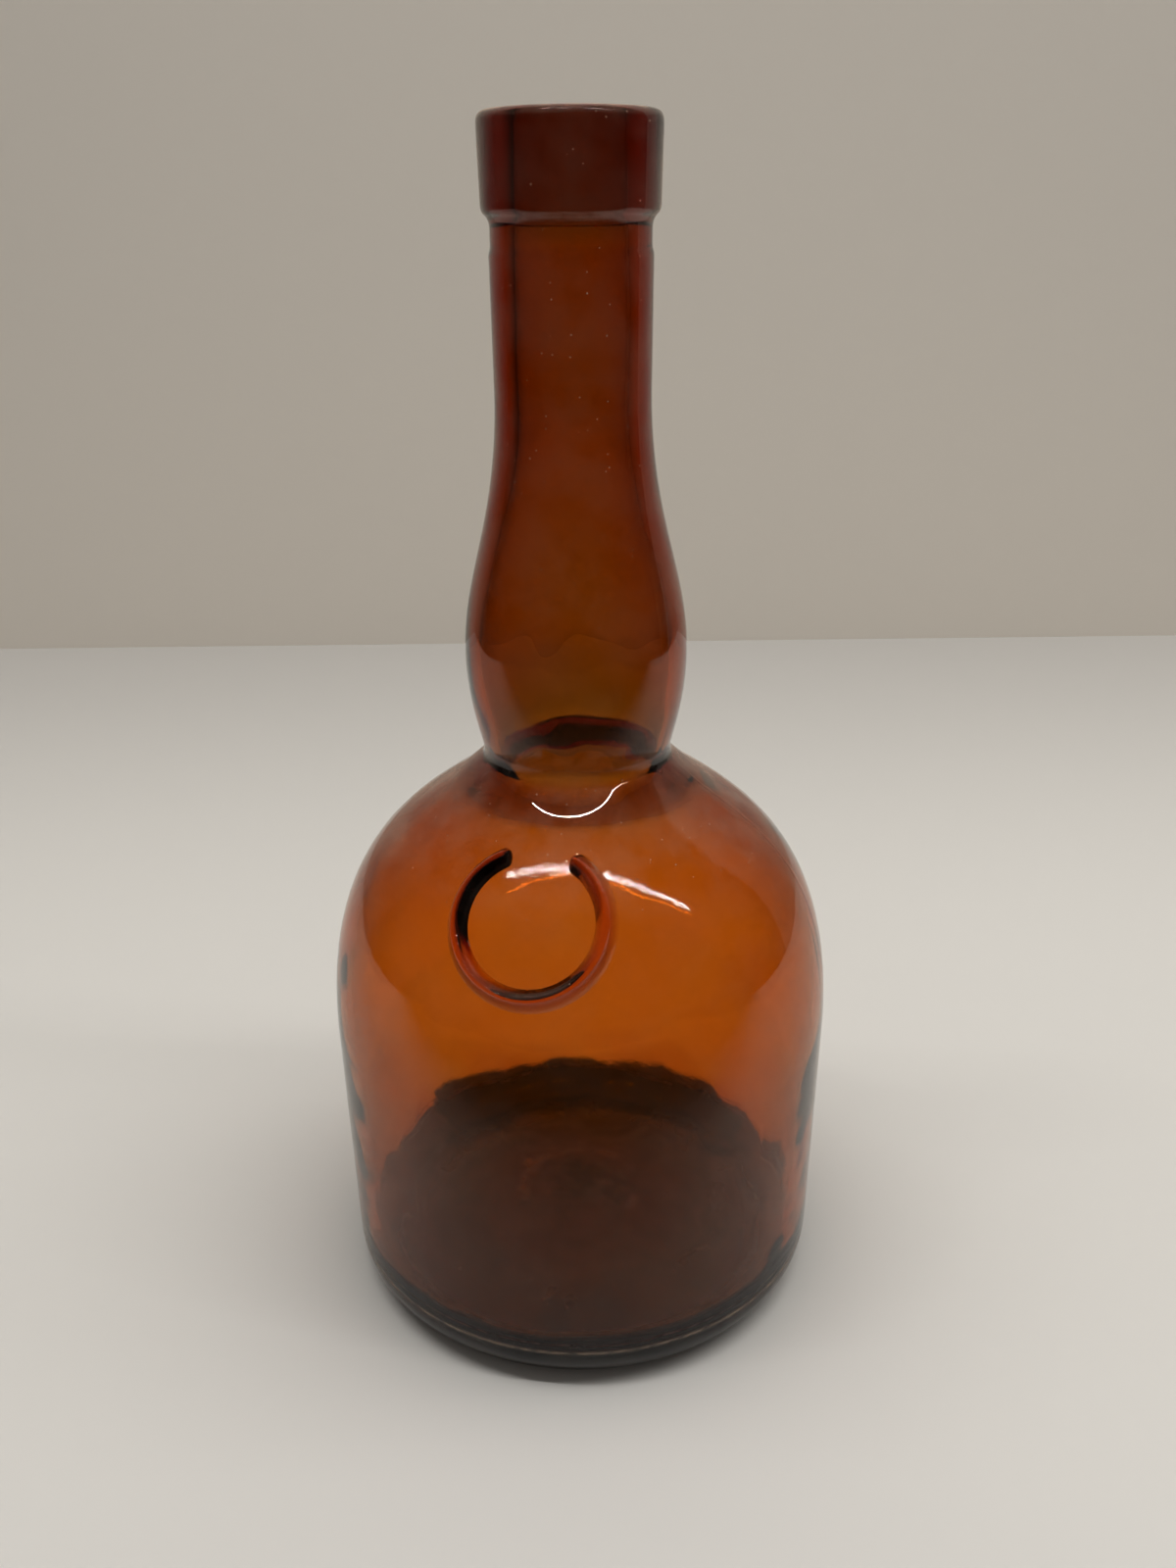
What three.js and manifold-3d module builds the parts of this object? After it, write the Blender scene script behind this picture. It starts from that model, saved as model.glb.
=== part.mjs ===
// A tall-necked liquor bottle of amber glass: one moulded piece with an open mouth, a banded finish,
// a bulged neck, a domed shoulder with an open seal ring on its front, and a pushed-up base.
// Millimetres, +Z up. The origin is the centre of the foot; the seal ring faces -Y and the two
// lines where the mould halves meet run up the +X and -X sides.

import * as THREE from 'three';
import { mergeVertices } from 'three/addons/utils/BufferGeometryUtils.js';
import Module from 'manifold-3d';

// Heights above the surface that the bottle stands on
const HEIGHT = 230;
const SHOULDER_HEIGHT = 60; // the straight side ends and the dome begins
const DOME_TOP_HEIGHT = 110; // the dome's round stops and it begins to flare up into the neck
const JUNCTION_HEIGHT = 115.8; // the flare meets the neck
const NECK_FOOT_HEIGHT = 119.5;
const BULGE_HEIGHT = 137; // the neck is widest
const WAIST_HEIGHT = 185; // the bulge has run out into the straight neck
const PARTING_HEIGHT = 208.8; // the finish mould meets the body mould
const COLLAR_FOOT_HEIGHT = 213.1;
const COLLAR_HEIGHT = 214.6; // the band's straight face begins

// Outer radii
const FOOT_RADIUS = 50;
const BODY_RADIUS = 51.1;
const DOME_TOP_RADIUS = 25.8;
const JUNCTION_RADIUS = 19;
const NECK_FOOT_RADIUS = 18.6;
const BULGE_RADIUS = 21.2;
const WAIST_RADIUS = 14.05;
const NECK_TOP_RADIUS = 14.25;
const FINISH_NECK_RADIUS = 13.95;
const COLLAR_FOOT_RADIUS = 15.4;
const COLLAR_RADIUS = 15.7;

// Roundings
const HEEL_ROUNDING = 9;
const LIP_OUTER_ROUNDING = 2.1;
const LIP_INNER_ROUNDING = 1.1;
const JUNCTION_CORNER = { radius: 17.9, height: 117 }; // the sharp corner that its rounding replaces

// How far each outer curve runs on straight before it turns
const DOME_RISE = 32.2;
const DOME_LEAN = { out: 12.2, down: 8.4 };
const SHOULDER_FLARE = { inward: 3.6, up: 2.5 };
const NECK_FOOT_LEAN = { out: 1.3, up: 4.9 };
const BULGE_LOWER_RISE = 7.2;
const BULGE_UPPER_RISE = 15.2;
const WAIST_RUN = 23;

// Base
const BEARING_RADIUS = 37; // inner edge of the flat ring that the bottle stands on
const PUSH_UP_HEIGHT = 4.8; // how far the base is raised at its centre
const PUSH_UP_SHOULDER = { radius: 32.7, height: 2.5 };
const CROWN_SHARE = 0.6; // of that radius, over which the raised middle and the floor stay nearly flat

// Inside
const MOUTH_RADIUS = 9.4;
const BORE_RADIUS = 9.9;
const MOUTH_DEPTH = 21; // the bore has opened out to its full radius
const INNER_BULGE_RADIUS = 17.8;
const INNER_JUNCTION_RADIUS = 15;
const INNER_BODY_RADIUS = 48.8;
const INNER_FOOT_RADIUS = 47.4;
const INNER_BULGE_RISE = 9;
const INNER_JUNCTION_HEIGHT = 114;
const INNER_JUNCTION_RISE = 5.8;
const INNER_THROAT_HEIGHT = 111.5; // the throat turns into the underside of the dome
const INNER_SHOULDER = { radius: 22.5, height: 108.4 };
const INNER_DOME_RISE = 35.5;
const INNER_DOME_LEAN = { out: 13.5, down: 9.3 };
const INNER_HEEL_HEIGHT = 15;
const FLOOR_EDGE = { radius: 40, height: 5.6 };
const FLOOR_HEIGHT = 9.6;

// Seal ring: a raised bead on the dome, open towards the neck
const RING_HEIGHT = 98.5;
const RING_RADIUS = 13.6; // to the middle of the bead
const RING_WIDTH = 3.9;
const RING_RAISED = 2.1;
const RING_ROOT = 1.2; // how deep the bead is set into the wall, so that it joins it
const RING_GAP_DEGREES = 60;
const RING_STEPS = 44;
const RING_CURVE_STEPS = 6;

// Mould lines: low ridges up both sides
const SEAM_WIDTH = 0.8;
const SEAM_RAISED = 0.15;
const SEAM_ROOT = 0.8;

// Faces round the bottle, steps in each curve of its outline, and how far its straight stretches may
// stray from those curves
const FACES_ROUND = 48;
const CURVE_STEPS = 16;
const OUTLINE_TOLERANCE = 0.1;

const wasm = await Module();
wasm.setup();

// Joins the corners that faces share, so that a shape is one closed skin
function weld(geometry) {
  const bare = geometry.clone();
  bare.deleteAttribute('normal');
  bare.deleteAttribute('uv');
  return mergeVertices(bare, 1e-4);
}

function toManifold(geometry) {
  const merged = weld(geometry);
  const corners = merged.index.array;
  const kept = [];
  for (let i = 0; i < corners.length; i += 3) {
    const [a, b, c] = [corners[i], corners[i + 1], corners[i + 2]];
    const isFlatOnAxis = a === b || b === c || c === a;
    if (!isFlatOnAxis) {
      kept.push(a, b, c);
    }
  }
  const mesh = new wasm.Mesh({
    numProp: 3,
    vertProperties: new Float32Array(merged.attributes.position.array),
    triVerts: new Uint32Array(kept),
  });
  return new wasm.Manifold(mesh);
}

function toGeometry(manifold) {
  const mesh = manifold.getMesh();
  const geometry = new THREE.BufferGeometry();
  geometry.setAttribute('position', new THREE.BufferAttribute(mesh.vertProperties, 3));
  geometry.setIndex(new THREE.BufferAttribute(mesh.triVerts, 1));
  geometry.computeVertexNormals();
  return geometry;
}

// From the centre of the base out to the foot and up the outside to the lip
function drawOutside(path) {
  path.quadraticCurveTo(
    PUSH_UP_SHOULDER.radius * CROWN_SHARE, PUSH_UP_HEIGHT,
    PUSH_UP_SHOULDER.radius, PUSH_UP_SHOULDER.height,
  );
  path.lineTo(BEARING_RADIUS, 0);
  path.lineTo(FOOT_RADIUS - HEEL_ROUNDING, 0);
  path.absarc(FOOT_RADIUS - HEEL_ROUNDING, HEEL_ROUNDING, HEEL_ROUNDING, -Math.PI / 2, 0, false);
  path.lineTo(BODY_RADIUS, SHOULDER_HEIGHT);
  path.bezierCurveTo(
    BODY_RADIUS, SHOULDER_HEIGHT + DOME_RISE,
    DOME_TOP_RADIUS + DOME_LEAN.out, DOME_TOP_HEIGHT - DOME_LEAN.down,
    DOME_TOP_RADIUS, DOME_TOP_HEIGHT,
  );
  path.quadraticCurveTo(
    DOME_TOP_RADIUS - SHOULDER_FLARE.inward, DOME_TOP_HEIGHT + SHOULDER_FLARE.up,
    JUNCTION_RADIUS, JUNCTION_HEIGHT,
  );
  path.quadraticCurveTo(
    JUNCTION_CORNER.radius, JUNCTION_CORNER.height,
    NECK_FOOT_RADIUS, NECK_FOOT_HEIGHT,
  );
  path.bezierCurveTo(
    NECK_FOOT_RADIUS + NECK_FOOT_LEAN.out, NECK_FOOT_HEIGHT + NECK_FOOT_LEAN.up,
    BULGE_RADIUS, BULGE_HEIGHT - BULGE_LOWER_RISE,
    BULGE_RADIUS, BULGE_HEIGHT,
  );
  path.bezierCurveTo(
    BULGE_RADIUS, BULGE_HEIGHT + BULGE_UPPER_RISE,
    WAIST_RADIUS, WAIST_HEIGHT - WAIST_RUN,
    WAIST_RADIUS, WAIST_HEIGHT,
  );
  path.lineTo(NECK_TOP_RADIUS, PARTING_HEIGHT - 0.3);
  path.lineTo(FINISH_NECK_RADIUS, PARTING_HEIGHT);
  path.lineTo(FINISH_NECK_RADIUS, COLLAR_FOOT_HEIGHT);
  path.lineTo(COLLAR_FOOT_RADIUS, COLLAR_HEIGHT);
  path.lineTo(COLLAR_RADIUS, HEIGHT - LIP_OUTER_ROUNDING);
  path.quadraticCurveTo(COLLAR_RADIUS, HEIGHT, COLLAR_RADIUS - LIP_OUTER_ROUNDING, HEIGHT);
}

// From the lip down the bore, through the neck and the body to the middle of the floor
function drawInside(path) {
  path.lineTo(MOUTH_RADIUS + LIP_INNER_ROUNDING, HEIGHT);
  path.quadraticCurveTo(MOUTH_RADIUS, HEIGHT, MOUTH_RADIUS, HEIGHT - LIP_INNER_ROUNDING);
  path.lineTo(BORE_RADIUS, HEIGHT - MOUTH_DEPTH);
  path.lineTo(BORE_RADIUS, WAIST_HEIGHT);
  path.bezierCurveTo(
    BORE_RADIUS, WAIST_HEIGHT - WAIST_RUN,
    INNER_BULGE_RADIUS, BULGE_HEIGHT + BULGE_UPPER_RISE,
    INNER_BULGE_RADIUS, BULGE_HEIGHT,
  );
  path.bezierCurveTo(
    INNER_BULGE_RADIUS, BULGE_HEIGHT - INNER_BULGE_RISE,
    INNER_JUNCTION_RADIUS, INNER_JUNCTION_HEIGHT + INNER_JUNCTION_RISE,
    INNER_JUNCTION_RADIUS, INNER_JUNCTION_HEIGHT,
  );
  path.quadraticCurveTo(
    INNER_JUNCTION_RADIUS, INNER_THROAT_HEIGHT,
    INNER_SHOULDER.radius, INNER_SHOULDER.height,
  );
  path.bezierCurveTo(
    INNER_SHOULDER.radius + INNER_DOME_LEAN.out, INNER_SHOULDER.height - INNER_DOME_LEAN.down,
    INNER_BODY_RADIUS, SHOULDER_HEIGHT + INNER_DOME_RISE,
    INNER_BODY_RADIUS, SHOULDER_HEIGHT,
  );
  path.lineTo(INNER_FOOT_RADIUS, INNER_HEEL_HEIGHT);
  path.quadraticCurveTo(
    INNER_FOOT_RADIUS, FLOOR_EDGE.height,
    FLOOR_EDGE.radius, FLOOR_EDGE.height,
  );
  path.quadraticCurveTo(FLOOR_EDGE.radius * CROWN_SHARE, FLOOR_HEIGHT, 0, FLOOR_HEIGHT);
}

// How far a point lies from the straight line between two others
function strayFrom(start, end, point) {
  const run = end.clone().sub(start);
  return Math.abs(run.cross(point.clone().sub(start))) / run.length();
}

// The points of one curve, without those that a straight stretch can do without
function curvePoints(curve) {
  const points = curve.getPoints(CURVE_STEPS);
  const kept = [0];
  for (let i = 2; i < points.length; i += 1) {
    const last = kept[kept.length - 1];
    const passed = points.slice(last + 1, i);
    if (passed.some((point) => strayFrom(points[last], points[i], point) > OUTLINE_TOLERANCE)) {
      kept.push(i - 1);
    }
  }
  kept.push(points.length - 1);
  return kept.map((i) => points[i]);
}

function outlinePoints(draw, start) {
  const path = new THREE.Path();
  path.moveTo(start.x, start.y);
  draw(path);
  return [start, ...path.curves.flatMap((curve) => curvePoints(curve).slice(1))];
}

const OUTSIDE = outlinePoints(drawOutside, new THREE.Vector2(0, PUSH_UP_HEIGHT));

function makeVessel() {
  const rim = OUTSIDE[OUTSIDE.length - 1];
  const inside = outlinePoints(drawInside, rim).slice(1);
  const vessel = new THREE.LatheGeometry([...OUTSIDE, ...inside], FACES_ROUND);
  vessel.rotateX(Math.PI / 2);
  return vessel;
}

// The base's outline falls to the foot before the side rises from it
function isRising(i) {
  return i > 0 && OUTSIDE[i].y > OUTSIDE[i - 1].y;
}

function outerRadiusAt(height) {
  const above = OUTSIDE.findIndex((point, i) => isRising(i) && point.y >= height);
  const [low, high] = [OUTSIDE[above - 1], OUTSIDE[above]];
  return low.x + ((high.x - low.x) * (height - low.y)) / (high.y - low.y);
}

// The ring's own axes on the dome: across, up towards the neck, and straight out of the wall
function ringAxes() {
  const reach = RING_WIDTH / 2;
  const rise = new THREE.Vector2(
    outerRadiusAt(RING_HEIGHT + reach) - outerRadiusAt(RING_HEIGHT - reach), 2 * reach,
  ).normalize();
  return {
    centre: new THREE.Vector3(0, -outerRadiusAt(RING_HEIGHT), RING_HEIGHT),
    across: new THREE.Vector3(1, 0, 0),
    up: new THREE.Vector3(0, -rise.x, rise.y),
    out: new THREE.Vector3(0, -rise.y, -rise.x),
  };
}

// How far below the ring's own plane the dome lies at a place on that plane, found by halving
function depthToDome(place, out) {
  const halvings = 20;
  let [outside, inside] = [0, RING_RADIUS];
  for (let i = 0; i < halvings; i += 1) {
    const depth = (outside + inside) / 2;
    const point = place.clone().addScaledVector(out, -depth);
    if (Math.hypot(point.x, point.y) > outerRadiusAt(point.z)) {
      outside = depth;
    } else {
      inside = depth;
    }
  }
  return outside;
}

class RingLine extends THREE.Curve {
  getPoint(t) {
    const gap = THREE.MathUtils.degToRad(RING_GAP_DEGREES);
    const angle = gap / 2 + t * (2 * Math.PI - gap);
    return new THREE.Vector3(RING_RADIUS * Math.sin(angle), RING_RADIUS * Math.cos(angle), 0);
  }
}

// The bead is swept flat and then laid on the dome
function makeSealRing() {
  const half = RING_WIDTH / 2;
  const section = new THREE.Shape();
  section.moveTo(RING_ROOT, -half);
  section.absellipse(0, 0, RING_RAISED, half, -Math.PI / 2, Math.PI / 2, true, 0);
  section.lineTo(RING_ROOT, half);
  const bead = weld(new THREE.ExtrudeGeometry(section, {
    steps: RING_STEPS,
    curveSegments: RING_CURVE_STEPS,
    extrudePath: new RingLine(),
  }));
  const { centre, across, up, out } = ringAxes();
  const corners = bead.attributes.position;
  const flat = new THREE.Vector3();
  for (let i = 0; i < corners.count; i += 1) {
    flat.fromBufferAttribute(corners, i);
    const place = centre.clone().addScaledVector(across, flat.x).addScaledVector(up, flat.y);
    place.addScaledVector(out, flat.z - depthToDome(place, out));
    corners.setXYZ(i, place.x, place.y, place.z);
  }
  return bead;
}

// A thin fin in the plane y = 0 that follows the outside from the heel to the lip's rounding
function makeSeam(side) {
  const [low, high] = [HEEL_ROUNDING / 2, HEIGHT - LIP_OUTER_ROUNDING];
  const onSide = OUTSIDE.filter((point, i) => isRising(i) && point.y > low && point.y <= high);
  const outer = onSide.map((point) => new THREE.Vector2(side * (point.x + SEAM_RAISED), point.y));
  const inner = onSide.map((point) => new THREE.Vector2(side * (point.x - SEAM_ROOT), point.y));
  const shape = new THREE.Shape([...outer, ...inner.reverse()]);
  const fin = new THREE.ExtrudeGeometry(shape, { depth: SEAM_WIDTH, bevelEnabled: false });
  fin.translate(0, 0, -SEAM_WIDTH / 2);
  fin.rotateX(Math.PI / 2);
  return fin;
}

function makeBottle() {
  const details = [makeSealRing(), makeSeam(1), makeSeam(-1)];
  let solid = toManifold(makeVessel());
  for (const detail of details) {
    solid = solid.add(toManifold(detail));
  }
  const amberGlass = new THREE.MeshStandardMaterial({
    color: 0x7a2c0c,
    roughness: 0.05,
    metalness: 0,
  });
  const bottle = new THREE.Mesh(toGeometry(solid), amberGlass);
  bottle.name = 'bottle_glass';
  return bottle;
}

const part = new THREE.Group();
part.add(makeBottle());

export default part;
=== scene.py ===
import math

import bpy
from mathutils import Matrix, Vector


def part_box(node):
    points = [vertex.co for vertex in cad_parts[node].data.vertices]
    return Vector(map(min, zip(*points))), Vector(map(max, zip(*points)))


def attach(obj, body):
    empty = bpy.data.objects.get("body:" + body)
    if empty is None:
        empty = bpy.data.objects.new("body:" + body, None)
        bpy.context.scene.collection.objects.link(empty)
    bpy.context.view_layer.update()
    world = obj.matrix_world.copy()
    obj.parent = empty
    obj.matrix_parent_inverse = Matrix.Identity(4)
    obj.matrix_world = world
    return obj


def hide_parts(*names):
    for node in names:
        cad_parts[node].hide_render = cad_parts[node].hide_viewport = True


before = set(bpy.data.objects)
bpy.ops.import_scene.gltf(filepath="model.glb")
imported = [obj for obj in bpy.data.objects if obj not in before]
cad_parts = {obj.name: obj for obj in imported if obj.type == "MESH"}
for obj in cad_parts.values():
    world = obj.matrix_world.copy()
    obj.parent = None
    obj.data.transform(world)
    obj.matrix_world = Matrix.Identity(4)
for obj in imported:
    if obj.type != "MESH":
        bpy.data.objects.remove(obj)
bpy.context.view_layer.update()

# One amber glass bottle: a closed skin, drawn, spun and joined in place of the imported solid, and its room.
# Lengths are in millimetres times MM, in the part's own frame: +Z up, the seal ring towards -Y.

MM = 0.001

# Heights of the outside above the foot
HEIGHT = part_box("bottle_glass")[1][2] / MM
SHOULDER_HEIGHT = 60
DOME_TOP_HEIGHT = 110
JUNCTION_HEIGHT = 115.8
NECK_FOOT_HEIGHT = 119.5
BULGE_HEIGHT = 137
WAIST_HEIGHT = 185
PARTING_HEIGHT = 208.2

# Outer radii
FOOT_RADIUS = 50
BODY_RADIUS = 51.1
DOME_TOP_RADIUS = 25.8
JUNCTION_RADIUS = 19
NECK_FOOT_RADIUS = 18.6
BULGE_RADIUS = 21.2
WAIST_RADIUS = 14.05
NECK_TOP_RADIUS = 14.25
FINISH_NECK_RADIUS = 13.95
COLLAR_RADIUS = 15.7

# Roundings, and how far each outer curve runs straight on before it turns
HEEL_ROUNDING = 9
HEEL_EDGE = (0.05, 1.4)
LIP_OUTER_ROUNDING = 2.1
LIP_INNER_ROUNDING = 1.1
LIP_RUN = 0.6
JUNCTION_CORNER = (17.9, 117)
DOME_RISE = 32.2
DOME_LEAN = (12.2, 8.4)
SHOULDER_FLARE = (3.6, 2.5)
NECK_FOOT_LEAN = (1.3, 4.9)
BULGE_LOWER_RISE = 7.2
BULGE_UPPER_RISE = 15.2
WAIST_RUN = 23
PARTING_RUN = 1

# The collar's underside: a fillet off the neck between two heights, a slope outwards, and a rounded edge
COLLAR_FILLET = (211.7, 213)
COLLAR_FILLET_END = (14.65, 213.8)
COLLAR_SLOPE_END = (14.9, 214)
COLLAR_EDGE = (15.4, 214.6)
COLLAR_EDGE_END = (15.41, 215.4)

# How far a quarter circle's handles reach towards its corner
CIRCLE_HANDLE = 0.5523

# Base
BEARING_RADIUS = 37
PUSH_UP_HEIGHT = 4.8
PUSH_UP_SHOULDER = (32.7, 2.5)
CROWN_SHARE = 0.6

# Inside
MOUTH_RADIUS = 9.4
BORE_RADIUS = 9.9
MOUTH_DEPTH = 21
INNER_BULGE_RADIUS = 17.8
INNER_JUNCTION_RADIUS = 15
INNER_BODY_RADIUS = 48.8
INNER_FOOT_RADIUS = 47.4
INNER_BULGE_RISE = 9
INNER_JUNCTION_HEIGHT = 114
INNER_JUNCTION_RISE = 5.8
INNER_THROAT_HEIGHT = 111.5
INNER_SHOULDER = (22.5, 108.6)
INNER_DOME_RISE = 32
INNER_DOME_LEAN = (12.6, 8.6)
INNER_HEEL_HEIGHT = 15
FLOOR_EDGE = (40, 5.6)
FLOOR_HEIGHT = 9.6

# Seal ring: its middle line, the bead's two flanks from foot to crest, and the gap towards the neck
RING_HEIGHT = 98.5
RING_RADIUS = 14.05
RING_RAISED = 2.85
RING_INNER = 2.45
RING_OUTER = 1.6
RING_LEAN_IN = (1.25, 2.2)
RING_LEAN_OUT = (0.85, 1.2)
RING_CREST_IN = 0.55
RING_CREST_OUT = 0.5
RING_ROOT = 0.9
RING_ROOT_INSET = 0.3
RING_GAP = math.radians(60)
LEAN_SPAN = 2
RING_STEPS = 150
RING_END_STEPS = 6

# Mould lines: they run up the side and end a little way over the lip's rounding
SEAM_WIDTH = 0.8
SEAM_RAISED = 0.04
SEAM_OVER_LIP = 0.2

# Glass: how strongly it bends light
GLASS_BEND = 1.52

# Waves of blown glass on the inside: how wide they are, and how deep
WALL_WAVES = (26, 0.8)
HEEL_WAVES = (14, 2.5)
THROAT_WAVES = (9, 0.75)

# Where the waves come in and go out: below the lip, up the throat, and at the heel outwards, upwards and
# backwards
WAVES_BELOW_LIP = (8, 40)
THROAT_IN = (108, 114)
THROAT_OUT = (122, 130)
HEEL_OUTWARDS = (30, 42)
HEEL_UPWARDS = (13, 22)
HEEL_BACKWARDS = (-20, 15)

# The painted shade in the base, for the table under the bottle lying in the bottle's shadow: how high it
# reaches inside, how much higher it is off its middle, and how far it drops at its two ends. Angles are
# degrees round the back from the shade's middle. Lobes and notches are (width, height).
BASE_SHADE_HEIGHT = 10.8
BASE_SHADE_RAISED = 1.9
BASE_SHADE_RISE = (17, 38)
BASE_SHADE_DROP = 8
BASE_SHADE_LEFT_END = (49, 52)
BASE_SHADE_RIGHT_FALL = (42, 58)
BASE_SHADE_RIGHT_END = (57, 60)
BASE_SHADE_LOBES = (24, 1.1)
BASE_SHADE_LOBES_START = 0.56
BASE_SHADE_NOTCHES = (11.6, 0.25)
BASE_SHADE_MIDDLE = 12.9
BASE_SHADE_BLUR = 0.6
BASE_SHADE_EDGE_OUTSIDE = 8.3

# The neck's deeper tint: where it comes in, where the bulge has less of it, and where the mouth has more
NECK_TINT_IN = (107, 114)
NECK_TINT_BULGE = (122, 135)
NECK_TINT_LESS = 0.5
NECK_TINT_FINISH = (208, 216)
NECK_TINT_MORE = 0.6

# What counts as the outside: a surface that faces away from the axis
FACES_OUT = 0.02

# Dust on the outside: its share low on the body, what is added up the wall and up the neck, the slopes on
# which it lies, the crease under the neck that holds it, and the heel that is clear of it
DUST_LEAST = 0.22
DUST_WALL = 0.1
DUST_WALL_RISE = (40, 90)
DUST_NECK = 0.35
DUST_NECK_RISE = (120, 215)
DUST_SLOPES = (0.5, 0.85)
CREASE_IN = (112, 114.5)
CREASE_OUT = (117.5, 121)
DUST_ABOVE_HEEL = (3, 8)

# Haze in patches, and specks: how far apart, how large, how few, and from how much dust on they show
HAZE_PATCH = 9
HAZE_STOPS = (0.25, 0.75)
SPECK_SPACING = 1.5
SPECK_SIZE = (0.02, 0.13)
SPECK_FEW = 0.6
SPECK_STOPS = (0.25, 0.6)

# How much the powder covers: seen straight on, edge on, in a speck, and in a painted highlight. Then its
# shine.
POWDER_COVER = 0.09
POWDER_EDGE_COVER = 0.9
POWDER_EDGE_POWER = 4
SPECK_COVER = 0.5
HIGHLIGHT_COVER = 0.6
COAT_SHARE = 0.3
COAT_ROUGHNESS = 0.35

# The fine ripple of the outer skin: it stops under the neck and is back at the lip
RIPPLE_WIDTH = 0.9
RIPPLE_DEPTH = 0.05
RIPPLE_STRENGTH = 0.35
RIPPLE_STOPS = (109, 112)
RIPPLE_RETURNS = (226, 228)

# Painted highlight lines of pale powder on the outside, at the heel, the collar's edge and the lip: from one
# height to another, and how strong. The bore has none.
PAINTED_HIGHLIGHT_BANDS = ((9.3, 9.8, 0.6), (213, 214.5, 0.2), (228.7, 229.9, 0.15))
HIGHLIGHT_INNER_RADIUS = 12.4
HIGHLIGHT_PATCH = 2.5
HIGHLIGHT_STOPS = (0.3, 0.6)

# Tints over the glass's own amber: the body, the thick neck, glass seen edge on, and the base's painted
# shade
BODY_TINT = (1, 0.87, 0.8)
NECK_TINT = (0.6, 0.72, 0.72)
EDGE_TINT = (0.26, 0.35, 0.37)
EDGE_POWER = 2.5
BASE_SHADE_TINT = (0.012, 0.01, 0.01)
POWDER_COLOUR = (0.62, 0.47, 0.36)

# How much of each colour the amber takes out on its way through, per metre
ABSORBED_RED = 70
ABSORBED_GREEN = 280
ABSORBED_BLUE = 800

# Fineness, and how close two places or two angles are taken as one
CURVE_STEPS = 12
FACES_ROUND = 240
SMOOTH_ANGLE = math.radians(20)
HALVINGS = 18
DEPTH_TRIALS = 10
TINY = 0.001
TINY_ANGLE = 0.001
WELD = 0.01

# The camera: its place round the bottle from the front, its distance from the axis, its height and its aim
VIEW_AZIMUTH = math.radians(12.9)
VIEW_DISTANCE = 252.6 * MM
VIEW_HEIGHT = 215.6 * MM
VIEW_PITCH = math.radians(22.94)
VIEW_YAW = math.radians(0.46)
VIEW_ROLL = math.radians(-0.52)
VIEW_LENS = 31.5

# The room, in metres: it is turned round the bottle with the camera. Stops are where one tone of paper goes
# over into the next; the darker tone on the table and on the wall is painted shade.
ROOM_TURN = Matrix.Rotation(VIEW_AZIMUTH, 4, "Z")
TABLE_WIDTH = 1.1
TABLE_DEPTH = 0.451
TABLE_FRONT = 0.6
MIRRORED_WIDTH = 1.2
MIRRORED_ABOVE = 0.0003
MIRRORED_STOPS = (-0.165, -0.035)
FLOOR_SIZE = (20, 20)
FLOOR_BELOW = 0.0005
WALL_SIZE = (3, 1.6)
WALL_MIDDLE = 0.6
PAPER_COLOUR = (0.8, 0.78, 0.74)
PAPER_FAR_SHADE_COLOUR = (0.61, 0.59, 0.56)
PAPER_SHADE_STOPS = (0.1, 0.5)
WALL_COLOUR = (0.78, 0.73, 0.66)
WALL_SHADE_COLOUR = (0.12, 0.11, 0.1)
WALL_SHADE_STOPS = (-1.5, -0.3)
ROOM_LIGHT_COLOUR = (1, 0.97, 0.93)
ROOM_RADIANCE = 0.23
ROOM_HORIZON = (-0.06, 0.0)


def select_only(thing):
    if bpy.context.object and bpy.context.object.mode != "OBJECT":
        bpy.ops.object.mode_set(mode="OBJECT")
    bpy.ops.object.select_all(action="DESELECT")
    thing.select_set(True)
    bpy.context.view_layer.objects.active = thing


def apply_modifier(thing, kind, **settings):
    select_only(thing)
    bpy.ops.object.modifier_add(type=kind)
    modifier = thing.modifiers[-1]
    for name, value in settings.items():
        setattr(modifier, name, value)
    bpy.ops.object.modifier_apply(modifier=modifier.name)


class Outline:
    """Half of a section, as knots of a Bezier curve, each with its place and a handle on each side."""

    def __init__(self, radius, height):
        self.knots = [{"place": Vector((radius, height)), "before": None, "after": None}]

    def curve_to(self, leaving, arriving, end, pieces=1):
        points = [self.knots[-1]["place"], Vector(leaving), Vector(arriving), Vector(end)]
        for left in range(pieces, 0, -1):
            near, points = split_curve(points, 1 / left)
            self.knots[-1]["after"] = near[1]
            self.knots.append({"place": near[3], "before": near[2], "after": None})

    def round_to(self, corner, end, pieces=1):
        start, corner, end = self.knots[-1]["place"], Vector(corner), Vector(end)
        self.curve_to(start.lerp(corner, 2 / 3), end.lerp(corner, 2 / 3), end, pieces)

    def line_to(self, radius, height, pieces=1):
        start, end = self.knots[-1]["place"], Vector((radius, height))
        for step in range(pieces):
            place = start.lerp(end, (step + 1) / pieces)
            self.knots.append({"place": place, "before": None, "after": None})

    def draw(self, name):
        bpy.ops.curve.primitive_bezier_curve_add()
        curve = bpy.context.object
        curve.name = name
        curve.data.resolution_u = CURVE_STEPS
        spline = curve.data.splines[0]
        spline.bezier_points.add(len(self.knots) - 2)
        for point, knot in zip(spline.bezier_points, self.knots):
            place, before, after = knot["place"], knot["before"], knot["after"]
            point.handle_left_type = "FREE" if before else "VECTOR"
            point.handle_right_type = "FREE" if after else "VECTOR"
            point.co = in_section(place)
            if before:
                point.handle_left = in_section(before)
            if after:
                point.handle_right = in_section(after)
        bpy.ops.object.convert(target="MESH")
        return bpy.context.object


def in_section(place):
    return (place.x * MM, 0, place.y * MM)


def split_curve(points, share):
    a, b, c = (start.lerp(end, share) for start, end in zip(points, points[1:]))
    d, e = a.lerp(b, share), b.lerp(c, share)
    middle = d.lerp(e, share)
    return [points[0], a, d, middle], [middle, e, c, points[3]]


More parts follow.
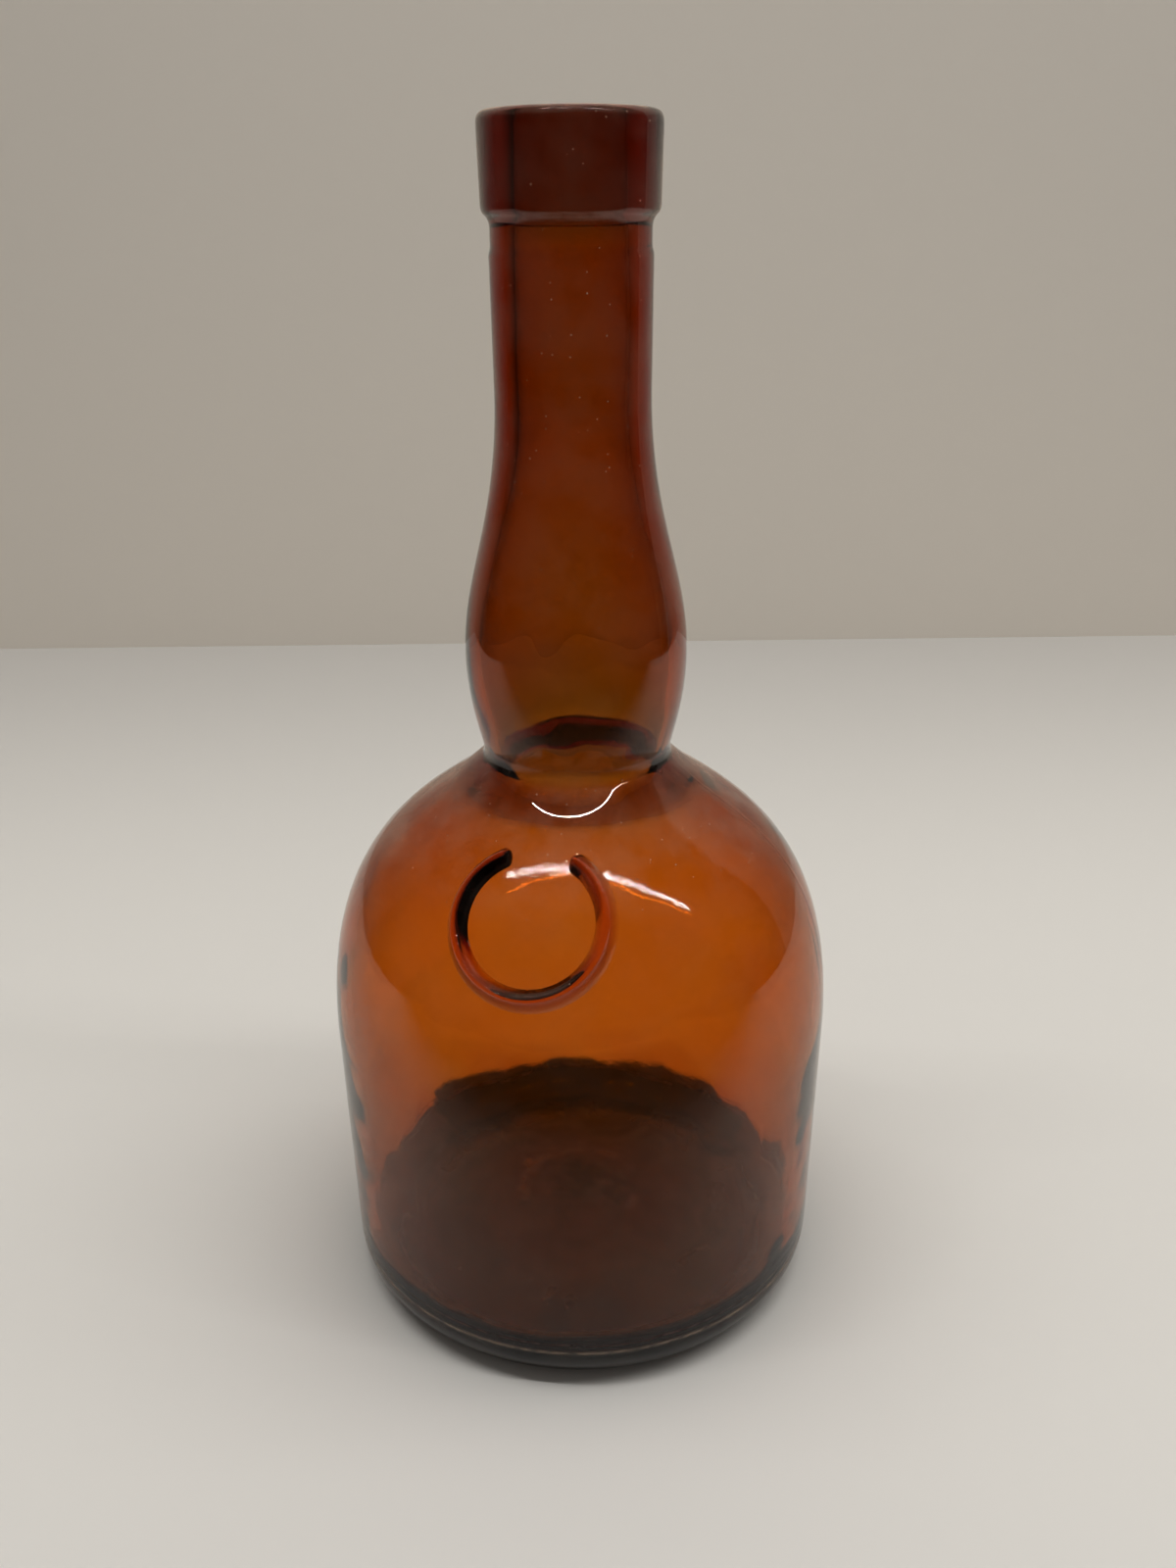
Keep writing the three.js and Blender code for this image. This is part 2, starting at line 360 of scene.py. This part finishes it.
def draw_outside(outline):
    outline.round_to((PUSH_UP_SHOULDER[0] * CROWN_SHARE, PUSH_UP_HEIGHT), PUSH_UP_SHOULDER)
    outline.line_to(BEARING_RADIUS, 0)
    outline.line_to(FOOT_RADIUS - HEEL_ROUNDING, 0)
    arc = HEEL_ROUNDING * (1 - CIRCLE_HANDLE)
    outline.curve_to((FOOT_RADIUS - arc, 0), (FOOT_RADIUS, arc), (FOOT_RADIUS, HEEL_ROUNDING))
    outline.line_to(FOOT_RADIUS + HEEL_EDGE[0], HEEL_ROUNDING + HEEL_EDGE[1], pieces=4)
    outline.line_to(BODY_RADIUS, SHOULDER_HEIGHT, pieces=8)
    outline.curve_to((BODY_RADIUS, SHOULDER_HEIGHT + DOME_RISE),
                     (DOME_TOP_RADIUS + DOME_LEAN[0], DOME_TOP_HEIGHT - DOME_LEAN[1]),
                     (DOME_TOP_RADIUS, DOME_TOP_HEIGHT), pieces=5)
    outline.round_to((DOME_TOP_RADIUS - SHOULDER_FLARE[0], DOME_TOP_HEIGHT + SHOULDER_FLARE[1]),
                     (JUNCTION_RADIUS, JUNCTION_HEIGHT))
    outline.round_to(JUNCTION_CORNER, (NECK_FOOT_RADIUS, NECK_FOOT_HEIGHT))
    outline.curve_to((NECK_FOOT_RADIUS + NECK_FOOT_LEAN[0], NECK_FOOT_HEIGHT + NECK_FOOT_LEAN[1]),
                     (BULGE_RADIUS, BULGE_HEIGHT - BULGE_LOWER_RISE),
                     (BULGE_RADIUS, BULGE_HEIGHT))
    outline.curve_to((BULGE_RADIUS, BULGE_HEIGHT + BULGE_UPPER_RISE),
                     (WAIST_RADIUS, WAIST_HEIGHT - WAIST_RUN),
                     (WAIST_RADIUS, WAIST_HEIGHT), pieces=2)
    outline.line_to(NECK_TOP_RADIUS, PARTING_HEIGHT - PARTING_RUN)
    outline.curve_to((NECK_TOP_RADIUS, PARTING_HEIGHT), (FINISH_NECK_RADIUS, PARTING_HEIGHT),
                     (FINISH_NECK_RADIUS, PARTING_HEIGHT + PARTING_RUN))
    outline.line_to(FINISH_NECK_RADIUS, COLLAR_FILLET[0])
    outline.round_to((FINISH_NECK_RADIUS, COLLAR_FILLET[1]), COLLAR_FILLET_END)
    outline.line_to(*COLLAR_SLOPE_END)
    outline.round_to(COLLAR_EDGE, COLLAR_EDGE_END)
    outline.line_to(COLLAR_RADIUS, HEIGHT - LIP_OUTER_ROUNDING - LIP_RUN)
    outline.line_to(COLLAR_RADIUS, HEIGHT - LIP_OUTER_ROUNDING)
    outline.round_to((COLLAR_RADIUS, HEIGHT), (COLLAR_RADIUS - LIP_OUTER_ROUNDING, HEIGHT))


def draw_inside(outline):
    outline.line_to(MOUTH_RADIUS + LIP_INNER_ROUNDING, HEIGHT)
    outline.round_to((MOUTH_RADIUS, HEIGHT), (MOUTH_RADIUS, HEIGHT - LIP_INNER_ROUNDING))
    outline.line_to(BORE_RADIUS, HEIGHT - MOUTH_DEPTH, pieces=6)
    outline.line_to(BORE_RADIUS, WAIST_HEIGHT, pieces=6)
    outline.curve_to((BORE_RADIUS, WAIST_HEIGHT - WAIST_RUN),
                     (INNER_BULGE_RADIUS, BULGE_HEIGHT + BULGE_UPPER_RISE),
                     (INNER_BULGE_RADIUS, BULGE_HEIGHT), pieces=2)
    outline.curve_to((INNER_BULGE_RADIUS, BULGE_HEIGHT - INNER_BULGE_RISE),
                     (INNER_JUNCTION_RADIUS, INNER_JUNCTION_HEIGHT + INNER_JUNCTION_RISE),
                     (INNER_JUNCTION_RADIUS, INNER_JUNCTION_HEIGHT))
    outline.round_to((INNER_JUNCTION_RADIUS, INNER_THROAT_HEIGHT), INNER_SHOULDER)
    outline.curve_to((INNER_SHOULDER[0] + INNER_DOME_LEAN[0], INNER_SHOULDER[1] - INNER_DOME_LEAN[1]),
                     (INNER_BODY_RADIUS, SHOULDER_HEIGHT + INNER_DOME_RISE),
                     (INNER_BODY_RADIUS, SHOULDER_HEIGHT), pieces=3)
    outline.line_to(INNER_FOOT_RADIUS, INNER_HEEL_HEIGHT, pieces=24)
    outline.round_to((INNER_FOOT_RADIUS, FLOOR_EDGE[1]), FLOOR_EDGE, pieces=2)
    outline.round_to((FLOOR_EDGE[0] * CROWN_SHARE, FLOOR_HEIGHT), (0, FLOOR_HEIGHT), pieces=2)


def paint(thing, name, weigh):
    """Fills a vertex group with the weight that weigh gives for each place, in millimetres."""
    group = thing.vertex_groups.get(name) or thing.vertex_groups.new(name=name)
    for corner in thing.data.vertices:
        weight = weigh(corner.co / MM, corner.index)
        if weight > 0:
            group.add([corner.index], min(weight, 1), "REPLACE")


def ramp(value, low, high):
    share = min(max((value - low) / (high - low), 0), 1)
    return share * share * (3 - 2 * share)


def make_vessel():
    outline = Outline(0, PUSH_UP_HEIGHT)
    draw_outside(outline)
    draw_inside(outline)
    vessel = outline.draw("bottle")
    lip = max(corner.index for corner in vessel.data.vertices if corner.co.z > (HEIGHT - TINY) * MM)
    side_top = HEIGHT - LIP_OUTER_ROUNDING + SEAM_OVER_LIP
    paint(vessel, "side", lambda place, i: i < lip and HEEL_ROUNDING / 2 < place.z < side_top)
    paint(vessel, "inside", lambda place, i: (i > lip) * ramp(HEIGHT - place.z, *WAVES_BELOW_LIP))
    paint(vessel, "throat",
          lambda place, i: (i > lip) * ramp(place.z, *THROAT_IN) * (1 - ramp(place.z, *THROAT_OUT)))
    paint(vessel, "inner_heel",
          lambda place, i: (i > lip) * ramp(place.x, *HEEL_OUTWARDS) * (1 - ramp(place.z, *HEEL_UPWARDS)))
    select_only(vessel)
    bpy.ops.object.mode_set(mode="EDIT")
    bpy.ops.mesh.select_all(action="SELECT")
    bpy.ops.mesh.spin(steps=FACES_ROUND, angle=math.tau, center=(0, 0, 0), axis=(0, 0, 1))
    bpy.ops.mesh.select_all(action="SELECT")
    bpy.ops.mesh.remove_doubles(threshold=WELD * MM)
    bpy.ops.mesh.normals_make_consistent(inside=False)
    bpy.ops.object.mode_set(mode="OBJECT")
    keep_to_back(vessel, "inner_heel")
    return vessel


def keep_to_back(thing, name):
    """Fades a vertex group out towards the front."""
    group = thing.vertex_groups[name]
    for corner in thing.data.vertices:
        weight = weight_in(thing, name, corner)
        if weight:
            group.add([corner.index], weight * ramp(corner.co.y / MM, *HEEL_BACKWARDS), "REPLACE")


def select_corners(thing, chosen):
    select_only(thing)
    bpy.ops.object.mode_set(mode="EDIT")
    bpy.ops.mesh.select_all(action="DESELECT")
    bpy.ops.mesh.select_mode(type="VERT")
    bpy.ops.object.mode_set(mode="OBJECT")
    for corner in thing.data.vertices:
        corner.select = chosen(corner)
    bpy.ops.object.mode_set(mode="EDIT")


def weight_in(thing, name, corner):
    index = thing.vertex_groups[name].index
    return next((entry.weight for entry in corner.groups if entry.group == index), 0)


def raise_seams(vessel):
    """The two mould lines: each bevelled edge loop gets a middle line, which is pushed out."""

    def on_line(corner):
        return abs(corner.co.y) < TINY * MM and weight_in(vessel, "side", corner) > 0.5

    select_corners(vessel, on_line)
    bpy.ops.mesh.bevel(offset=SEAM_WIDTH / 2 * MM, segments=2, affect="EDGES")
    bpy.ops.object.mode_set(mode="OBJECT")
    paint(vessel, "seam", lambda place, i: on_line(vessel.data.vertices[i]))
    apply_modifier(vessel, "DISPLACE", vertex_group="seam", mid_level=0, strength=SEAM_RAISED * MM)


def outer_radius_at(height):
    """The dome's radius at a height, by halving along its curve."""
    curve = [Vector((BODY_RADIUS, SHOULDER_HEIGHT)),
             Vector((BODY_RADIUS, SHOULDER_HEIGHT + DOME_RISE)),
             Vector((DOME_TOP_RADIUS + DOME_LEAN[0], DOME_TOP_HEIGHT - DOME_LEAN[1])),
             Vector((DOME_TOP_RADIUS, DOME_TOP_HEIGHT))]
    for halving in range(HALVINGS):
        low, high = split_curve(curve, 0.5)
        curve = low if low[3].y > height else high
    return curve[0].x


ring_centre = Vector((0, -outer_radius_at(RING_HEIGHT), RING_HEIGHT))
ring_lean = math.atan2(outer_radius_at(RING_HEIGHT - LEAN_SPAN) - outer_radius_at(RING_HEIGHT + LEAN_SPAN),
                       2 * LEAN_SPAN)


def dome_depth(across, up):
    """How far the dome lies behind the flat plane that touches it at the ring's middle."""
    depth = 0
    for trial in range(DEPTH_TRIALS):
        height = ring_centre.z + up * math.cos(ring_lean) - depth * math.sin(ring_lean)
        forward = math.sqrt(outer_radius_at(height) ** 2 - across ** 2)
        behind = (-ring_centre.y - up * math.sin(ring_lean) - forward) / math.cos(ring_lean)
        depth = (depth + behind) / 2
    return depth


def make_ring():
    """The seal ring: a bead spun round its own middle, with rounded ends and its root in the dome."""
    inner, outer = RING_RADIUS - RING_INNER, RING_RADIUS + RING_OUTER
    outline = Outline(inner + RING_ROOT_INSET, -RING_ROOT)
    outline.line_to(inner, 0)
    outline.curve_to((inner + RING_LEAN_IN[0], RING_LEAN_IN[1]),
                     (RING_RADIUS - RING_CREST_IN, RING_RAISED), (RING_RADIUS, RING_RAISED))
    outline.curve_to((RING_RADIUS + RING_CREST_OUT, RING_RAISED),
                     (outer - RING_LEAN_OUT[0], RING_LEAN_OUT[1]), (outer, 0))
    outline.line_to(outer - RING_ROOT_INSET, -RING_ROOT)
    outline.line_to(inner + RING_ROOT_INSET, -RING_ROOT)
    ring = outline.draw("ring")
    ring.data.transform(Matrix.Rotation(math.pi / 2 - RING_GAP / 2, 4, "Z"))
    select_only(ring)
    bpy.ops.object.mode_set(mode="EDIT")
    bpy.ops.mesh.select_all(action="SELECT")
    bpy.ops.mesh.remove_doubles(threshold=TINY * MM)
    bpy.ops.mesh.select_all(action="SELECT")
    bpy.ops.mesh.spin(steps=RING_STEPS, angle=math.tau - RING_GAP, center=(0, 0, 0), axis=(0, 0, 1))
    for side in (1, -1):
        close_end(ring, side)
    bpy.ops.mesh.select_all(action="SELECT")
    bpy.ops.mesh.normals_make_consistent(inside=False)
    bpy.ops.object.mode_set(mode="OBJECT")
    depths = [dome_depth(corner.co.x / MM, corner.co.y / MM) for corner in ring.data.vertices]
    deepest = max(depths)
    paint(ring, "depth", lambda place, i: depths[i] / deepest)
    apply_modifier(ring, "DISPLACE", vertex_group="depth", mid_level=0, direction="Z",
                   strength=-deepest * MM)
    upright = Matrix.Rotation(math.pi / 2 - ring_lean, 4, "X")
    ring.data.transform(Matrix.Translation(ring_centre * MM) @ upright)
    return ring


def close_end(ring, side):
    """Rounds one open end in steps that turn on and shrink to the bead's middle, and closes it."""
    angle = math.pi / 2 + side * RING_GAP / 2
    middle = Vector((math.cos(angle), math.sin(angle), 0)) * RING_RADIUS

    def at_end(corner):
        return abs(math.remainder(math.atan2(corner.co.y, corner.co.x) - angle, math.tau)) < TINY_ANGLE

    # The last step stops half a step short, where a face closes the end
    select_corners(ring, at_end)
    shrunk = 1
    turned = 0
    for step in range(1, RING_END_STEPS + 1):
        share = step / (RING_END_STEPS + 0.5) * math.pi / 2
        turn = math.sin(share) * RING_OUTER / RING_RADIUS - turned
        turned += turn
        bpy.ops.mesh.extrude_region_move()
        bpy.ops.transform.rotate(value=side * turn, orient_axis="Z", center_override=(0, 0, 0))
        here = Matrix.Rotation(-side * turned, 3, "Z") @ middle
        factor = math.cos(share) / shrunk
        shrunk *= factor
        bpy.ops.transform.resize(value=(factor, factor, factor), center_override=here * MM)
    bpy.ops.mesh.edge_face_add()


def join_ring(vessel, ring):
    apply_modifier(vessel, "BOOLEAN", object=ring, operation="UNION", solver="EXACT")
    bpy.data.objects.remove(ring)


def wave(vessel, group, measures, name):
    width, depth = measures
    texture = bpy.data.textures.new(name, "CLOUDS")
    texture.noise_scale = width * MM
    texture.noise_depth = 2
    apply_modifier(vessel, "DISPLACE", vertex_group=group, texture=texture, mid_level=0.5,
                   strength=depth * MM)


def painted_shade_edge(place):
    """How high the painted shade of the base reaches up the inside: in lobes, and lower past the sides."""
    turned = math.degrees(math.atan2(place.x, place.y)) + BASE_SHADE_MIDDLE
    lobe_width, lobe_height = BASE_SHADE_LOBES
    notch_width, notch_height = BASE_SHADE_NOTCHES
    lobes = lobe_height * abs(math.sin(math.pi * (turned / lobe_width + BASE_SHADE_LOBES_START)))
    notches = notch_height * math.sin(math.tau * turned / notch_width)
    raised = BASE_SHADE_RAISED * ramp(abs(turned), *BASE_SHADE_RISE)
    left_drop = BASE_SHADE_DROP * ramp(-turned, *BASE_SHADE_LEFT_END)
    right_drop = BASE_SHADE_DROP / 2 * (ramp(turned, *BASE_SHADE_RIGHT_FALL) + ramp(turned, *BASE_SHADE_RIGHT_END))
    return BASE_SHADE_HEIGHT + raised + lobes + notches - left_drop - right_drop


def record_dust_tint_and_painted_light(thing):
    """Stores the dust outside, the painted highlight lines, the darker neck and the base's painted shade."""
    names = ("dust", "painted_highlights", "neck_film", "base_painted_shade")
    for name in names:
        thing.data.attributes.new(name, "FLOAT", "POINT")
    dust, painted_highlights, neck_film, base_painted_shade = (thing.data.attributes[name].data for name in names)
    for corner in thing.data.vertices:
        i = corner.index
        place = corner.co / MM
        radius, height = place.xy.length, place.z
        outside = corner.normal.xy.dot(place.xy.normalized()) > FACES_OUT
        lying = ramp(corner.normal.z, *DUST_SLOPES)
        crease = ramp(height, *CREASE_IN) * (1 - ramp(height, *CREASE_OUT))
        on_wall = DUST_LEAST + DUST_WALL * ramp(height, *DUST_WALL_RISE)
        on_neck = DUST_NECK * ramp(height, *DUST_NECK_RISE)
        dust[i].value = outside * max(on_wall + on_neck, lying, crease) * ramp(height, *DUST_ABOVE_HEEL)
        # Painted highlight lines: bands of pale powder where light catches the heel, the collar's edge and
        # the lip
        worn = max(share * (low <= height <= high) for low, high, share in PAINTED_HIGHLIGHT_BANDS)
        painted_highlights[i].value = worn * (radius > HIGHLIGHT_INNER_RADIUS)
        less = NECK_TINT_LESS * ramp(height, *NECK_TINT_BULGE)
        more = NECK_TINT_MORE * ramp(height, *NECK_TINT_FINISH)
        neck_film[i].value = ramp(height, *NECK_TINT_IN) * (1 - less + more)
        # Painted shade of the base: up to a low edge outside, and to a lobed edge inside and over the floor
        edge = BASE_SHADE_EDGE_OUTSIDE
        if not outside:
            edge = max(painted_shade_edge(place), FLOOR_HEIGHT * (radius < FLOOR_EDGE[0]))
        base_painted_shade[i].value = 1 - ramp(height, edge - BASE_SHADE_BLUR, edge + BASE_SHADE_BLUR)


class Shade:
    """A socket that takes part in sums, so that a pattern is written as one expression."""

    def __init__(self, nodes, socket):
        self.nodes = nodes
        self.socket = socket

    def __add__(self, other):
        return self.nodes.math("ADD", self, other)

    def __rsub__(self, other):
        return self.nodes.math("SUBTRACT", other, self)

    def __mul__(self, other):
        return self.nodes.math("MULTIPLY", self, other)

    def __pow__(self, other):
        return self.nodes.math("POWER", self, other)

    def __gt__(self, other):
        return self.nodes.math("GREATER_THAN", self, other)

    def __lt__(self, other):
        return self.nodes.math("LESS_THAN", self, other)

    __radd__ = __add__
    __rmul__ = __mul__


class Nodes:
    """Makes the nodes of a material, or of the room's light."""

    def __init__(self, owner):
        self.owner = owner
        owner.use_nodes = True
        self.tree = owner.node_tree
        self.tree.nodes.clear()

    def node(self, kind, settings=None, sockets=None):
        node = self.tree.nodes.new(kind)
        for name, value in (settings or {}).items():
            setattr(node, name, value)
        for name, value in (sockets or {}).items():
            if isinstance(value, Shade):
                self.tree.links.new(value.socket, node.inputs[name])
            else:
                node.inputs[name].default_value = value
        return node

    def read(self, kind, output, settings=None, sockets=None):
        return Shade(self, self.node(kind, settings, sockets).outputs[output])

    def math(self, operation, left, right):
        return self.read("ShaderNodeMath", 0, {"operation": operation}, {0: left, 1: right})

    def place(self):
        return self.read("ShaderNodeTexCoord", "Object")

    def recorded(self, name):
        return self.read("ShaderNodeAttribute", "Fac", {"attribute_name": name})

    def facing(self):
        """0 where the surface is seen straight on, 1 where it is seen edge on."""
        return self.read("ShaderNodeLayerWeight", "Facing", None, {"Blend": 0.5})

    def noise(self, size, detail=2, roughness=0.5):
        """Soft patches of the given size in millimetres, from 0 to 1."""
        return self.read("ShaderNodeTexNoise", "Fac", None,
                         {"Vector": self.place(), "Scale": 1 / (size * MM),
                          "Detail": detail, "Roughness": roughness})

    def between(self, value, low, high):
        """Rises smoothly from 0 to 1 as value goes from low to high."""
        return self.read("ShaderNodeMapRange", 0, {"interpolation_type": "SMOOTHSTEP"},
                         {"Value": value, "From Min": low, "From Max": high})

    def mix_colour(self, share, first, second):
        first, second = (value if isinstance(value, Shade) else (*value, 1) for value in (first, second))
        return self.read("ShaderNodeMix", 2, {"data_type": "RGBA"}, {0: share, 6: first, 7: second})

    def finish(self, surface, volume=None, output="ShaderNodeOutputMaterial"):
        sockets = {"Surface": surface}
        if volume:
            sockets["Volume"] = volume
        self.node(output, None, sockets)
        return self.owner


def make_amber_glass():
    nodes = Nodes(bpy.data.materials.new("amber_glass"))
    dust = nodes.recorded("dust")

    # Thin haze in soft patches, and single specks of dust
    haze = dust * nodes.between(nodes.noise(HAZE_PATCH, 3, 0.6), *HAZE_STOPS)
    cells = nodes.node("ShaderNodeTexVoronoi", None,
                       {"Vector": nodes.place(), "Scale": 1 / (SPECK_SPACING * MM)})
    distance = Shade(nodes, cells.outputs["Distance"])
    chance = nodes.read("ShaderNodeSeparateColor", 0, None, {0: Shade(nodes, cells.outputs["Color"])})
    least, more = SPECK_SIZE
    specks = (distance < least + more * nodes.noise(2)) * (chance > SPECK_FEW)
    specks = specks * nodes.between(dust, *SPECK_STOPS)
    # Painted highlight lines, broken into patches
    worn = nodes.recorded("painted_highlights") * nodes.between(nodes.noise(HIGHLIGHT_PATCH, 3, 0.6), *HIGHLIGHT_STOPS)

    # A fine ripple under the dust of the body, the dome and the lip, and a smooth neck
    height = nodes.read("ShaderNodeSeparateXYZ", "Z", None, {0: nodes.place()})
    stopped = nodes.between(height, *(stop * MM for stop in RIPPLE_STOPS))
    returned = nodes.between(height, *(stop * MM for stop in RIPPLE_RETURNS))
    ripple = nodes.noise(RIPPLE_WIDTH, 3, 0.65) * dust * (1 - stopped + returned)
    bump = nodes.read("ShaderNodeBump", 0, None,
                      {"Strength": RIPPLE_STRENGTH, "Distance": RIPPLE_DEPTH * MM, "Height": ripple})

    # The tinted glass with its base's painted shade, the powder that lies on it, and the amber all through
    # it
    clean = nodes.mix_colour(nodes.recorded("neck_film"), BODY_TINT, NECK_TINT)
    slanting = nodes.mix_colour(nodes.facing() ** EDGE_POWER, clean, EDGE_TINT)
    # The base's painted shade: a near-black tint where the table under the bottle lies in shade
    tint = nodes.mix_colour(nodes.recorded("base_painted_shade"), slanting, BASE_SHADE_TINT)
    glass = nodes.read("ShaderNodeBsdfPrincipled", 0, None,
                       {"Base Color": tint, "Roughness": 0.0, "IOR": GLASS_BEND, "Transmission Weight": 1.0,
                        "Coat Weight": haze * COAT_SHARE, "Coat Roughness": COAT_ROUGHNESS, "Normal": bump})
    powder = nodes.read("ShaderNodeBsdfPrincipled", 0, None,
                        {"Base Color": (*POWDER_COLOUR, 1), "Roughness": 1.0, "Specular IOR Level": 0.0})
    hazy = haze * (POWDER_COVER + POWDER_EDGE_COVER * nodes.facing() ** POWDER_EDGE_POWER)
    # Dust, specks and the painted highlight lines cover the glass with pale powder
    covered = hazy + specks * SPECK_COVER + worn * HIGHLIGHT_COVER
    surface = nodes.read("ShaderNodeMixShader", 0, None, {0: covered, 1: glass, 2: powder})
    amber = (1 - ABSORBED_RED / ABSORBED_BLUE, 1 - ABSORBED_GREEN / ABSORBED_BLUE, 0, 1)
    absorb = nodes.read("ShaderNodeVolumeAbsorption", 0, None, {"Color": amber, "Density": ABSORBED_BLUE})
    return nodes.finish(surface, absorb)


def paper_shader(nodes, tone):
    return nodes.read("ShaderNodeBsdfPrincipled", 0, None, {"Base Color": tone, "Roughness": 0.7})


def room_place(nodes, axis):
    """How far along one of the room's axes a place lies; the room is turned round with the camera."""
    turned = nodes.read("ShaderNodeMapping", 0, None,
                        {"Vector": nodes.place(), "Rotation": (0, 0, -VIEW_AZIMUTH)})
    return nodes.read("ShaderNodeSeparateXYZ", axis, None, {0: turned})


def make_paper(name, colour):
    nodes = Nodes(bpy.data.materials.new(name))
    return nodes.finish(paper_shader(nodes, (*colour, 1)))


def make_shaded_paper(name, axis, stops, first, second):
    """Paper with painted shade: it goes over from one tone to another between two places along an axis of
    the room.
    """
    nodes = Nodes(bpy.data.materials.new(name))
    tone = nodes.mix_colour(nodes.between(room_place(nodes, axis), *stops), first, second)
    return nodes.finish(paper_shader(nodes, tone))


def make_fading_paper(name, colour, stops):
    """Paper that comes in softly between two places in front of the bottle, and is clear before them."""
    nodes = Nodes(bpy.data.materials.new(name))
    share = nodes.between(room_place(nodes, "Y"), *stops)
    clear = nodes.read("ShaderNodeBsdfTransparent", 0)
    paper = paper_shader(nodes, (*colour, 1))
    return nodes.finish(nodes.read("ShaderNodeMixShader", 0, None, {0: share, 1: clear, 2: paper}))


def add_sheet(name, size, transform, material, unseen_by=()):
    """A sheet of paper of the room, in metres; the kinds of light in unseen_by pass it by."""
    bpy.ops.mesh.primitive_plane_add(size=1)
    sheet = bpy.context.object
    sheet.name = name
    sheet.data.transform(ROOM_TURN @ transform @ Matrix.Diagonal((*size, 1, 1)))
    sheet.data.materials.append(material)
    for kind in unseen_by:
        setattr(sheet, "visible_" + kind, False)


def add_lamp(name, place, size, radiance, turn=0):
    """An overhead lamp; its power in watts follows from its area and the radiance wanted."""
    bpy.ops.object.light_add(type="AREA")
    lamp = bpy.context.object
    lamp.name = name
    lamp.data.shape = "RECTANGLE"
    lamp.data.size, lamp.data.size_y = size
    lamp.data.energy = radiance * size[0] * size[1] * math.pi
    lamp.matrix_world = ROOM_TURN @ Matrix.Translation(place) @ Matrix.Rotation(turn, 4, "Z")
    return lamp


def make_room_light():
    """The rest of the room's light: even above the horizon, and fading out just below it."""
    nodes = Nodes(bpy.data.worlds.new("room"))
    direction = nodes.read("ShaderNodeTexCoord", "Generated")
    height = nodes.read("ShaderNodeSeparateXYZ", "Z", None, {0: direction})
    low, high = ROOM_HORIZON
    share = nodes.read("ShaderNodeMapRange", 0, None, {"Value": height, "From Min": low, "From Max": high})
    light = nodes.read("ShaderNodeBackground", 0, None,
                       {"Color": (*ROOM_LIGHT_COLOUR, 1), "Strength": share * ROOM_RADIANCE})
    room_light = nodes.finish(light, output="ShaderNodeOutputWorld")
    room_light.cycles_visibility.glossy = False
    return room_light


bottle = make_vessel()
raise_seams(bottle)
wave(bottle, "inside", WALL_WAVES, "wall_waves")
wave(bottle, "inner_heel", HEEL_WAVES, "heel_waves")
wave(bottle, "throat", THROAT_WAVES, "throat_waves")
join_ring(bottle, make_ring())
select_only(bottle)
bpy.ops.object.shade_smooth_by_angle(angle=SMOOTH_ANGLE)
record_dust_tint_and_painted_light(bottle)
bottle.name = "amber_bottle"
bottle.data.materials.clear()
bottle.data.materials.append(make_amber_glass())
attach(bottle, "root")
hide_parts("bottle_glass")

# The table, a copy of it that only the glass mirrors, and a wide floor that only the camera sees
table_size = (TABLE_WIDTH, TABLE_DEPTH + TABLE_FRONT)
table_place = Matrix.Translation((0, (TABLE_DEPTH - TABLE_FRONT) / 2, 0))
# The table's paper is darker towards the wall: painted shade
add_sheet("table", table_size, table_place,
          make_shaded_paper("table_paper_painted_shade", "Y", PAPER_SHADE_STOPS, PAPER_COLOUR, PAPER_FAR_SHADE_COLOUR),
          unseen_by=("glossy",))
add_sheet("far_table", FLOOR_SIZE, Matrix.Translation((0, 0, -FLOOR_BELOW)),
          make_paper("far_paper", PAPER_COLOUR),
          unseen_by=("diffuse", "glossy", "transmission", "shadow"))
add_sheet("mirrored_table", (MIRRORED_WIDTH, table_size[1]),
          table_place @ Matrix.Translation((0, 0, MIRRORED_ABOVE)),
          make_fading_paper("mirrored_paper", PAPER_COLOUR, MIRRORED_STOPS),
          unseen_by=("camera", "diffuse", "transmission", "shadow"))
# The wall's paper goes dark towards the left: painted shade of the room
add_sheet("wall", WALL_SIZE,
          Matrix.Translation((0, TABLE_DEPTH, WALL_MIDDLE)) @ Matrix.Rotation(math.pi / 2, 4, "X"),
          make_shaded_paper("wall_paper_painted_shade", "X", WALL_SHADE_STOPS, WALL_SHADE_COLOUR, WALL_COLOUR))

add_lamp("strip_lamp", place=(0.35, -0.34, 1.3), size=(2.05, 0.012), radiance=75, turn=math.radians(-8))
ceiling = add_lamp("ceiling", place=(0.3, 0.0, 1.4), size=(2.6, 0.6), radiance=1.9)
ceiling.visible_glossy = False
ceiling.visible_transmission = False
bpy.context.scene.world = make_room_light()
bpy.context.scene.view_settings.view_transform = "Standard"
bpy.context.scene.view_settings.gamma = 0.85
bpy.context.scene.view_settings.exposure = 0.13

bpy.ops.object.camera_add()
camera = bpy.context.object
camera.data.lens = VIEW_LENS
camera.matrix_world = (ROOM_TURN @ Matrix.Translation((0, -VIEW_DISTANCE, VIEW_HEIGHT))
                       @ Matrix.Rotation(-VIEW_YAW, 4, "Z")
                       @ Matrix.Rotation(math.pi / 2 - VIEW_PITCH, 4, "X")
                       @ Matrix.Rotation(VIEW_ROLL, 4, "Z"))
bpy.context.scene.camera = camera
